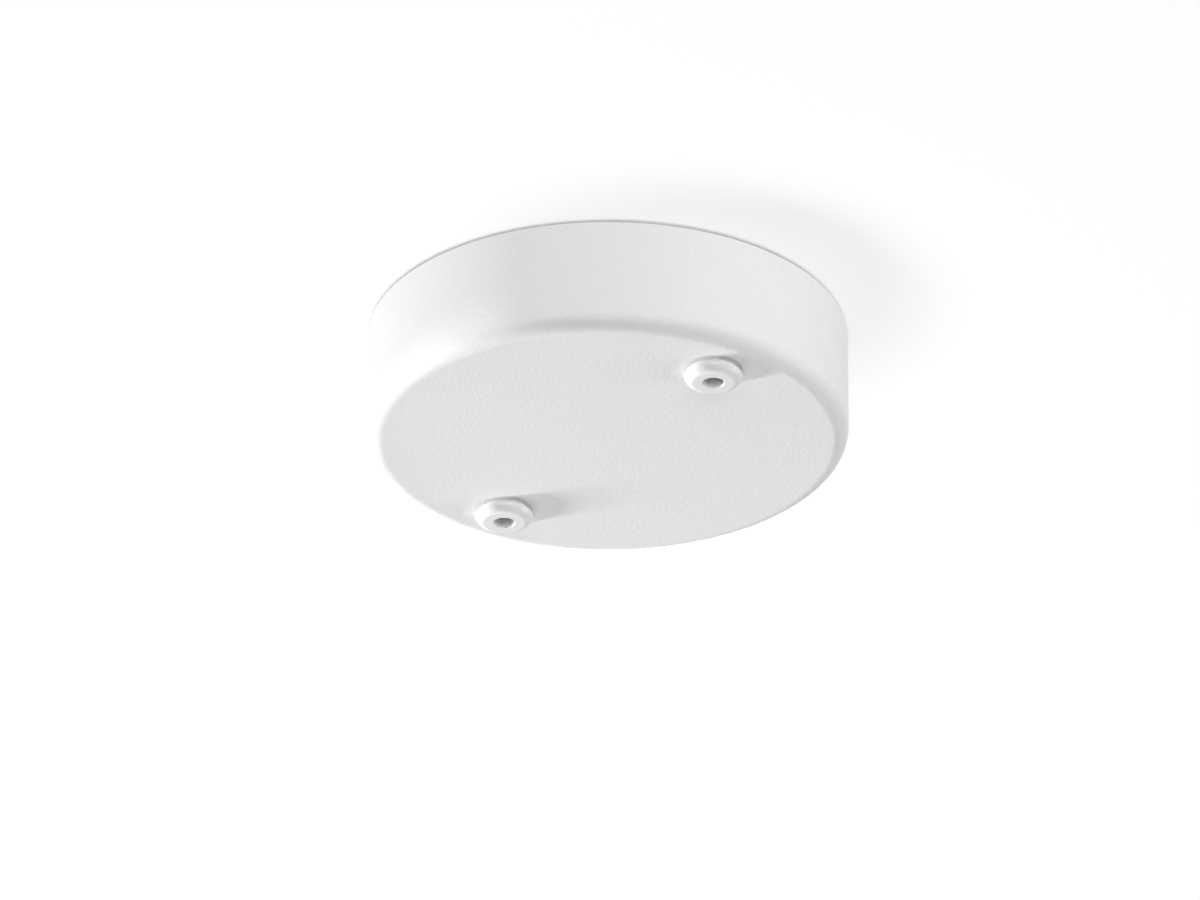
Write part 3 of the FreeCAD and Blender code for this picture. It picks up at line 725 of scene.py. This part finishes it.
def zinc_sheet():
    material, tree = new_tree("zinc_plated_pressed_steel")
    place = add(tree, "TexCoord").outputs["Object"]
    along = add(tree, "Mapping", {"Vector": place, "Scale": (ROLLED_SCALE_ALONG, 1.0, 1.0)})
    lines = add(tree, "TexNoise", {"Vector": along.outputs[0], "Scale": per_mm(ROLLED_LINE),
                                   "Detail": 3.0})
    clouds = add(tree, "TexNoise", {"Vector": place, "Scale": per_mm(ZINC_CLOUD), "Detail": 3.0,
                                    "Roughness": 0.55})
    colour = add(tree, "MixRGB", {"Fac": clouds.outputs["Fac"], "Color1": srgb(ZINC_BLUE),
                                  "Color2": srgb(ZINC_WARM)})
    gloss = add(tree, "MapRange", {"Value": lines.outputs["Fac"],
                                   **span("From", ROLLED_GLOSS_RANGE),
                                   **span("To", SHEET_ROUGHNESS)})
    scratches = add(tree, "Bump", {"Height": lines.outputs["Fac"], "Distance": ROLLED_RELIEF * MM,
                                   "Strength": 1.0, "Normal": soft_edges(tree, SHEET_EDGE)})
    output(tree, add(tree, "BsdfPrincipled", {
        "Base Color": colour.outputs[0], "Metallic": 1.0, "Roughness": gloss.outputs[0],
        "Normal": scratches.outputs[0]}))
    return material


ZINC_SHEET = zinc_sheet()
print("made", ZINC_SHEET.name)

# %% [markdown]
# Screws, nuts, washers and the hexagonal stand-offs are cold-headed or turned steel with the
# same bright zinc, but no rolling lines. Barrel plating tumbles them, which leaves a finer and
# more even satin with small darker spots.

# %% Zinc-plated turned steel
FASTENER_LIGHT = "#CACCCE"
FASTENER_DARK = "#AEB2B6"
FASTENER_SPOT = 1.4
FASTENER_SPOT_RANGE = (0.35, 0.7)
SATIN_GRAIN = 0.25
SATIN_RELIEF = 0.003
FASTENER_ROUGHNESS = (0.24, 0.38)
FASTENER_EDGE = 0.12


def zinc_fastener():
    material, tree = new_tree("zinc_plated_turned_steel")
    place = add(tree, "TexCoord").outputs["Object"]
    satin = add(tree, "TexNoise", {"Vector": place, "Scale": per_mm(SATIN_GRAIN), "Detail": 2.0})
    spots = add(tree, "TexNoise", {"Vector": place, "Scale": per_mm(FASTENER_SPOT),
                                   "Detail": 3.0})
    share = add(tree, "MapRange", {"Value": spots.outputs["Fac"],
                                   **span("From", FASTENER_SPOT_RANGE)})
    colour = add(tree, "MixRGB", {"Fac": share.outputs[0], "Color1": srgb(FASTENER_LIGHT),
                                  "Color2": srgb(FASTENER_DARK)})
    gloss = add(tree, "MapRange", {"Value": satin.outputs["Fac"],
                                   **span("To", FASTENER_ROUGHNESS)})
    tumbled = add(tree, "Bump", {"Height": satin.outputs["Fac"], "Distance": SATIN_RELIEF * MM,
                                 "Strength": 1.0, "Normal": soft_edges(tree, FASTENER_EDGE)})
    output(tree, add(tree, "BsdfPrincipled", {
        "Base Color": colour.outputs[0], "Metallic": 1.0, "Roughness": gloss.outputs[0],
        "Normal": tumbled.outputs[0]}))
    return material


ZINC_FASTENER = zinc_fastener()
print("made", ZINC_FASTENER.name)

# %% [markdown]
# Small pot magnets are nickel plated. Nickel is a smoother and slightly yellow metal, so they
# look brighter and warmer than the zinc beside them. Lapping leaves a faint grain.

# %% Nickel plating
NICKEL = "#D6D1C8"
LAPPED_GRAIN = 0.3
LAPPED_RELIEF = 0.001
NICKEL_ROUGHNESS = (0.12, 0.22)
NICKEL_EDGE = 0.15


def nickel_plating():
    material, tree = new_tree("nickel_plating")
    place = add(tree, "TexCoord").outputs["Object"]
    grain = add(tree, "TexNoise", {"Vector": place, "Scale": per_mm(LAPPED_GRAIN), "Detail": 2.0})
    gloss = add(tree, "MapRange", {"Value": grain.outputs["Fac"], **span("To", NICKEL_ROUGHNESS)})
    lapped = add(tree, "Bump", {"Height": grain.outputs["Fac"], "Distance": LAPPED_RELIEF * MM,
                                "Strength": 1.0, "Normal": soft_edges(tree, NICKEL_EDGE)})
    output(tree, add(tree, "BsdfPrincipled", {
        "Base Color": srgb(NICKEL), "Metallic": 1.0, "Roughness": gloss.outputs[0],
        "Normal": lapped.outputs[0]}))
    return material


NICKEL_PLATING = nickel_plating()
print("made", NICKEL_PLATING.name)

# %% [markdown]
# Brass carries the current: the terminal sleeves, the earth screw and its clamping plate. They
# are turned or stamped from bar and strip and left bare, so they have fine tool lines and have
# darkened a little. The tool lines of a turned sleeve run round its axis, which lies along Y,
# so a wave of thin rings across Y gives them. The wave node draws a little over three rings to
# the unit of its scale.

# %% Turned brass
BRASS_BRIGHT = "#DDBB74"
BRASS_DULL = "#C39C55"
TOOL_LINE = 0.35
TOOL_LINES_PER_UNIT = math.pi
TOOL_LINE_RELIEF = 0.002
TARNISH_PATCH = 2.5
TARNISH_RANGE = (0.4, 0.68)
BRASS_ROUGHNESS = (0.18, 0.36)
BRASS_EDGE = 0.12


def turned_brass():
    material, tree = new_tree("turned_brass")
    place = add(tree, "TexCoord").outputs["Object"]
    rings = add(tree, "TexWave", {"Vector": place, "Distortion": 0.6,
                                  "Scale": per_mm(TOOL_LINE * TOOL_LINES_PER_UNIT)},
                bands_direction="Y")
    tarnish = add(tree, "TexNoise", {"Vector": place, "Scale": per_mm(TARNISH_PATCH),
                                     "Detail": 4.0})
    share = add(tree, "MapRange", {"Value": tarnish.outputs["Fac"],
                                   **span("From", TARNISH_RANGE)})
    colour = add(tree, "MixRGB", {"Fac": share.outputs[0], "Color1": srgb(BRASS_BRIGHT),
                                  "Color2": srgb(BRASS_DULL)})
    gloss = add(tree, "MapRange", {"Value": tarnish.outputs["Fac"],
                                   **span("To", BRASS_ROUGHNESS)})
    lines = add(tree, "Bump", {"Height": rings.outputs["Fac"], "Distance": TOOL_LINE_RELIEF * MM,
                               "Strength": 1.0, "Normal": soft_edges(tree, BRASS_EDGE)})
    output(tree, add(tree, "BsdfPrincipled", {
        "Base Color": colour.outputs[0], "Metallic": 1.0, "Roughness": gloss.outputs[0],
        "Normal": lines.outputs[0]}))
    return material


TURNED_BRASS = turned_brass()
print("made", TURNED_BRASS.name)

# %% [markdown]
# The terminal housing is natural polyamide, without pigment. It is milky: light goes in,
# scatters and comes out again a millimetre or two away, so thin walls look lighter and edges
# glow. Subsurface scattering gives that. A spark-eroded mould leaves an even, very fine matt.

# %% Natural polyamide
NATURAL_POLYAMIDE = "#DEDACB"
ERODED_GRAIN = 0.25
ERODED_RELIEF = 0.006
HOUSING_ROUGHNESS = (0.38, 0.50)
HOUSING_EDGE = 0.3
SCATTER_SHARE = 0.5
SCATTER_REACH = (1.6, 1.4, 1.0)


def natural_polyamide():
    material, tree = new_tree("natural_polyamide")
    place = add(tree, "TexCoord").outputs["Object"]
    matt = add(tree, "TexNoise", {"Vector": place, "Scale": per_mm(ERODED_GRAIN), "Detail": 2.0})
    eroded = add(tree, "Bump", {"Height": matt.outputs["Fac"], "Distance": ERODED_RELIEF * MM,
                                "Strength": 1.0, "Normal": soft_edges(tree, HOUSING_EDGE)})
    gloss = add(tree, "MapRange", {"Value": matt.outputs["Fac"], **span("To", HOUSING_ROUGHNESS)})
    output(tree, add(tree, "BsdfPrincipled", {
        "Base Color": srgb(NATURAL_POLYAMIDE), "Roughness": gloss.outputs[0],
        "IOR": POLYAMIDE_IOR, "Subsurface Weight": SCATTER_SHARE,
        "Subsurface Radius": [reach * MM for reach in SCATTER_REACH],
        "Subsurface Scale": 1.0, "Normal": eroded.outputs[0]}))
    return material


NATURAL_PA = natural_polyamide()
print("made", NATURAL_PA.name)

# %% [markdown]
# The cord clamps are white polyamide filled with glass fibre, which makes them stiff. The
# fibres reach the skin, so it is more matt than that of the bushes, with short pale streaks
# where the melt flowed along the clamp.

# %% Glass-filled polyamide
CLAMP_WHITE = "#E4E4E1"
CLAMP_STREAK = "#D3D3CF"
FIBRE_WIDTH = 0.28
FIBRE_SCALE_ALONG = 0.22
FIBRE_RANGE = (0.35, 0.7)
FIBRE_RELIEF = 0.010
CLAMP_ROUGHNESS = (0.5, 0.65)
CLAMP_EDGE = 0.25


def glass_filled_polyamide():
    material, tree = new_tree("glass_filled_polyamide")
    place = add(tree, "TexCoord").outputs["Object"]
    flow = add(tree, "Mapping", {"Vector": place, "Scale": (FIBRE_SCALE_ALONG, 1.0, 1.0)})
    fibres = add(tree, "TexNoise", {"Vector": flow.outputs[0], "Scale": per_mm(FIBRE_WIDTH),
                                    "Detail": 3.0})
    share = add(tree, "MapRange", {"Value": fibres.outputs["Fac"], **span("From", FIBRE_RANGE)})
    colour = add(tree, "MixRGB", {"Fac": share.outputs[0], "Color1": srgb(CLAMP_WHITE),
                                  "Color2": srgb(CLAMP_STREAK)})
    skin = add(tree, "Bump", {"Height": fibres.outputs["Fac"], "Distance": FIBRE_RELIEF * MM,
                              "Strength": 1.0, "Normal": soft_edges(tree, CLAMP_EDGE)})
    gloss = add(tree, "MapRange", {"Value": fibres.outputs["Fac"], **span("To", CLAMP_ROUGHNESS)})
    output(tree, add(tree, "BsdfPrincipled", {
        "Base Color": colour.outputs[0], "Roughness": gloss.outputs[0], "IOR": POLYAMIDE_IOR,
        "Normal": skin.outputs[0]}))
    return material


CLAMP_PA = glass_filled_polyamide()
print("made", CLAMP_PA.name)

# %% [markdown]
# The grommet is moulded black rubber. Rubber is never quite black: it has a grey bloom, which
# is dry and matt, and it picks up light at a glancing angle.

# %% Moulded rubber
RUBBER_BLACK = "#1B1B1C"
RUBBER_BLOOM = "#2B2B2C"
BLOOM_PATCH = 3.0
RUBBER_GRAIN = 0.3
RUBBER_RELIEF = 0.008
RUBBER_ROUGHNESS = (0.55, 0.75)
RUBBER_EDGE = 0.3
RUBBER_IOR = 1.52


def moulded_rubber():
    material, tree = new_tree("moulded_rubber")
    place = add(tree, "TexCoord").outputs["Object"]
    bloom = add(tree, "TexNoise", {"Vector": place, "Scale": per_mm(BLOOM_PATCH), "Detail": 4.0})
    grain = add(tree, "TexNoise", {"Vector": place, "Scale": per_mm(RUBBER_GRAIN), "Detail": 2.0})
    colour = add(tree, "MixRGB", {"Fac": bloom.outputs["Fac"], "Color1": srgb(RUBBER_BLACK),
                                  "Color2": srgb(RUBBER_BLOOM)})
    gloss = add(tree, "MapRange", {"Value": bloom.outputs["Fac"], **span("To", RUBBER_ROUGHNESS)})
    skin = add(tree, "Bump", {"Height": grain.outputs["Fac"], "Distance": RUBBER_RELIEF * MM,
                              "Strength": 1.0, "Normal": soft_edges(tree, RUBBER_EDGE)})
    output(tree, add(tree, "BsdfPrincipled", {
        "Base Color": colour.outputs[0], "Roughness": gloss.outputs[0], "IOR": RUBBER_IOR,
        "Normal": skin.outputs[0]}))
    return material


RUBBER = moulded_rubber()
print("made", RUBBER.name)

# %% [markdown]
# The pieces whose engineered shape is already right keep it and only get their finish: the
# pressed plate, the grommet, the terminal housing, the clamps, the magnets and the sheet and
# hexagonal parts. Their record says which finish each one has, so a table from that to the
# materials above dresses them all.

# %% Dress the engineered pieces
FINISHES = {
    "zinc_plated_steel": ZINC_SHEET,
    "zinc_plated_fasteners": ZINC_FASTENER,
    "nickel_plating": NICKEL_PLATING,
    "terminal_brass": TURNED_BRASS,
    "terminal_polyamide": NATURAL_PA,
    "clamp_polyamide": CLAMP_PA,
    "grommet_rubber": RUBBER,
    "bush_plastic": BUSH_POLYAMIDE,
    "canopy_powder_coat": POWDER_COAT,
}
for subpart in frame["record"]["subparts"]:
    node_object = frame["nodes"][subpart["node"]]
    node_object.data.materials.clear()
    node_object.data.materials.append(FINISHES[subpart["material_slot"]])

# %% [markdown]
# The screws get real threads and a crisp recess. Each group of screws in the model is one
# piece made of separate solids, so the solids are found first, by joining the points that
# share an edge; the box of each gives a screw's place and length. A set has no order of its
# own, so the boxes are sorted, and every run makes the same mesh.

# %% Find the screws
SAME_POINT = 0.002


def solids_of(node):
    """Box of each separate solid of a node, in millimetres, sorted by its lowest corner."""
    net = bmesh.new()
    net.from_mesh(frame["nodes"][node].data)
    bmesh.ops.remove_doubles(net, verts=net.verts, dist=SAME_POINT * MM)
    boxes = []
    waiting = set(net.verts)
    while waiting:
        reached = [waiting.pop()]
        group = []
        while reached:
            vertex = reached.pop()
            group.append(vertex.co / MM)
            near = {edge.other_vert(vertex) for edge in vertex.link_edges} & waiting
            waiting -= near
            reached += near
        boxes.append([Vector([pick(point[i] for point in group) for i in range(3)])
                      for pick in (min, max)])
    net.free()
    return sorted(boxes, key=lambda box: tuple(box[0]))


print("terminal screws found:", len(solids_of("terminal_screws")))

# %% [markdown]
# A recess is cut out of a screw's head by a Boolean modifier. The cutter is one blade with
# tapered sides for a slot, and two crossed blades for a cross recess. Screw and cutter are
# drafts: only the mesh that is left after the cut is kept.

# %% Cut a recess
DRIVE_WIDTH = 0.8
DRIVE_TAPER = 0.82
DRIVE_OVERRUN = 1.0


def mesh_of(net):
    """A net as a mesh object that is only used while building."""
    bmesh.ops.recalc_face_normals(net, faces=net.faces)
    mesh = bpy.data.meshes.new("draft")
    net.to_mesh(mesh)
    net.free()
    made = bpy.data.objects.new("draft", mesh)
    bpy.context.scene.collection.objects.link(made)
    return made


def recess_cutter(length, depth, turns):
    """Blade, or two crossed blades, with slightly tapered sides; its wide end is at z = 0."""
    net = bmesh.new()
    for turned_by in range(turns):
        corners = []
        for z, share in ((-DRIVE_OVERRUN, 1.0), (0.0, 1.0), (depth, DRIVE_TAPER)):
            half_x, half_y = length / 2 * share, DRIVE_WIDTH / 2 * share
            if turned_by:
                half_x, half_y = half_y, half_x
            corners.append([net.verts.new((x * MM, y * MM, z * MM)) for x, y in (
                (-half_x, -half_y), (half_x, -half_y), (half_x, half_y), (-half_x, half_y))])
        for low, high in zip(corners, corners[1:]):
            join(net, low, high)
        net.faces.new(corners[0])
        net.faces.new(corners[-1])
    return mesh_of(net)


def cut_out(body, cutter):
    """Mesh of body with cutter taken out of it; both drafts are deleted."""
    modifier = body.modifiers.new("recess", "BOOLEAN")
    modifier.object = cutter
    modifier.operation = "DIFFERENCE"
    modifier.solver = "EXACT"
    modifier.use_self = True
    graph = bpy.context.evaluated_depsgraph_get()
    mesh = bpy.data.meshes.new_from_object(body.evaluated_get(graph))
    for draft in (body, cutter):
        bpy.data.objects.remove(draft)
    return mesh


# %% [markdown]
# One screw of each kind is turned, with a rounded head and a thread, its recess is cut, and
# copies of it go to all its places. A slotted head is cut right across. Screws that enter from
# above are turned over.

# %% Make the screws
SCREW_SEGMENTS = 48
HEAD_ROUNDING_SHARE = 0.45
HEAD_UNDER_CHAMFER = 0.08
SCREW_THREAD_START = 0.1
TIP_CHAMFER = 0.4
DRIVE_DEPTH = 0.9
DRIVE_CROSS_SHARE = 1.15


def screw_mesh(length, head_r, head_height, shank_r, pitch, crossed):
    """Screw with its head below z = 0 and its thread above."""
    rounding = head_height * HEAD_ROUNDING_SHARE
    profile = bend(head_r - rounding, rounding - head_height, rounding, -90, 0, steps=7)
    profile += [(head_r, -HEAD_UNDER_CHAMFER), (head_r - HEAD_UNDER_CHAMFER, 0), (shank_r, 0)]
    profile += thread(shank_r, SCREW_THREAD_START, length, pitch, TIP_CHAMFER, first=False)
    net = bmesh.new()
    turn(net, profile, SCREW_SEGMENTS, closed=False)
    blade = DRIVE_CROSS_SHARE * head_r if crossed else 2 * head_r + DRIVE_OVERRUN
    cutter = recess_cutter(blade, DRIVE_DEPTH, 2 if crossed else 1)
    cutter.data.transform(Matrix.Translation((0, 0, -head_height * MM)))
    return cut_out(mesh_of(net), cutter)


def screws(node, body, slot, material, head_height, shank_r, pitch, crossed=True, head_up=False):
    """Every screw of a node, as one piece."""
    net = bmesh.new()
    boxes = solids_of(node)
    low, high = boxes[0]
    model = screw_mesh(high.z - low.z - head_height, (high.x - low.x) / 2, head_height, shank_r,
                       pitch, crossed)
    for low, high in boxes:
        mesh = model.copy()
        if head_up:
            mesh.transform(Matrix.Rotation(math.pi, 4, "X"))
        middle = (low + high) / 2
        seat_z = high.z - head_height if head_up else low.z + head_height
        mesh.transform(Matrix.Translation(Vector((middle.x, middle.y, seat_z)) * MM))
        net.from_mesh(mesh)
        bpy.data.meshes.remove(mesh)
    print(node, "is", len(boxes), "screws")
    piece(node + "_threaded", net, material, body, [node], sharp_deg=28.0)


M3 = {"shank_r": 1.5, "pitch": 0.5}
M4 = {"shank_r": 2.0, "pitch": 0.7}
zinc_screw = {"slot": "zinc_plated_fasteners", "material": ZINC_FASTENER}
screws("terminal_screws", "plate", head_height=1.6, crossed=False, **zinc_screw, **M3)
screws("terminal_block_screws", "plate", head_height=2.2, **zinc_screw, **M3)
screws("magnet_standoff_screws", "plate", head_height=2.4, head_up=True, **zinc_screw, **M4)
screws("earth_screw", "plate", "terminal_brass", TURNED_BRASS, head_height=2.4, **M4)
for clamp_side in SIDES:
    screws("cord_clamp_screws_" + clamp_side, "clamp_" + clamp_side, head_height=2.2,
           **zinc_screw, **M3)
